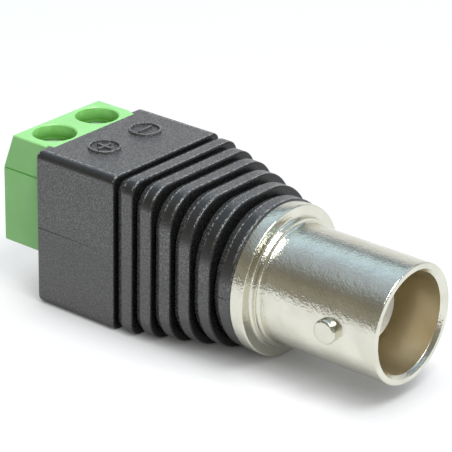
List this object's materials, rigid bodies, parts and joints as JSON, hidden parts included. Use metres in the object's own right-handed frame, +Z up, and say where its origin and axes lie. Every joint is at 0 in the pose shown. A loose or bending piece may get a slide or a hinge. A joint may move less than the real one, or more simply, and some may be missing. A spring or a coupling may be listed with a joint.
{
  "type": "bnc screw terminal adapter",
  "caption": "Coaxial bayonet jack moulded in line with a green screw terminal block, in a ribbed black body; turns bare wires into a coaxial port.",
  "frame": {"origin": "centre of the jack's mouth, on the coaxial axis", "axes": "+X out of the jack's mouth, +Z up to the side that the clamp screws open on, +Y across the two poles"},
  "size_m": [0.0371, 0.013, 0.0132],
  "materials": {
    "overmould": "fine-grained satin moulding",
    "terminal_green": "satin moulding",
    "nickel_plate": "bright nickel plate over a cast surface",
    "white_insulator": "smooth, slightly waxy",
    "gold_plate": "bright gold plate",
    "tinned_brass": "satin tin plate",
    "tinned_wire": "bright tinned copper",
    "red_sleeve": "matte",
    "black_sleeve": "matte",
    "solder": "bright, slightly rounded",
    "screw_steel": "bright zinc plate",
    "clamp_steel": "zinc plate"
  },
  "bodies": {
    "adapter": {"housing_overmould": "overmould", "bnc_shell": "nickel_plate", "dielectric": "white_insulator", "center_contact": "gold_plate", "rear_insulator": "white_insulator", "ground_lug": "tinned_brass", "signal_link": "tinned_wire", "signal_sleeve": "red_sleeve", "ground_link": "tinned_wire", "ground_sleeve": "black_sleeve", "solder_signal_pin": "solder", "solder_ground_pin": "solder", "solder_ground_tag": "solder", "terminal_housing": "terminal_green", "terminal_contact_signal": "tinned_brass", "terminal_contact_ground": "tinned_brass"},
    "screw_signal": {"terminal_screw_signal": "screw_steel"},
    "clamp_signal": {"wire_clamp_signal": "clamp_steel"},
    "screw_ground": {"terminal_screw_ground": "screw_steel"},
    "clamp_ground": {"wire_clamp_ground": "clamp_steel"}
  },
  "joints": [
    {"name": "screw_turn_signal", "type": "hinge", "parent": "adapter", "child": "screw_signal", "pos_m": [-0.0338, -0.00254, 0.0046], "axis": [0, 0, -1], "range_deg": [0, 1601]},
    {"name": "clamp_rise_signal", "type": "slide", "parent": "adapter", "child": "clamp_signal", "axis": [0, 0, 1], "range_m": [0, 0.002]},
    {"name": "screw_turn_ground", "type": "hinge", "parent": "adapter", "child": "screw_ground", "pos_m": [-0.0338, 0.00254, 0.0046], "axis": [0, 0, -1], "range_deg": [0, 1601]},
    {"name": "clamp_rise_ground", "type": "slide", "parent": "adapter", "child": "clamp_ground", "axis": [0, 0, 1], "range_m": [0, 0.002]}
  ],
  "couplings": [
    {"joint": "screw_turn_signal", "follows": "clamp_rise_signal", "rad_per_m": 13963},
    {"joint": "screw_turn_ground", "follows": "clamp_rise_ground", "rad_per_m": 13963}
  ]
}
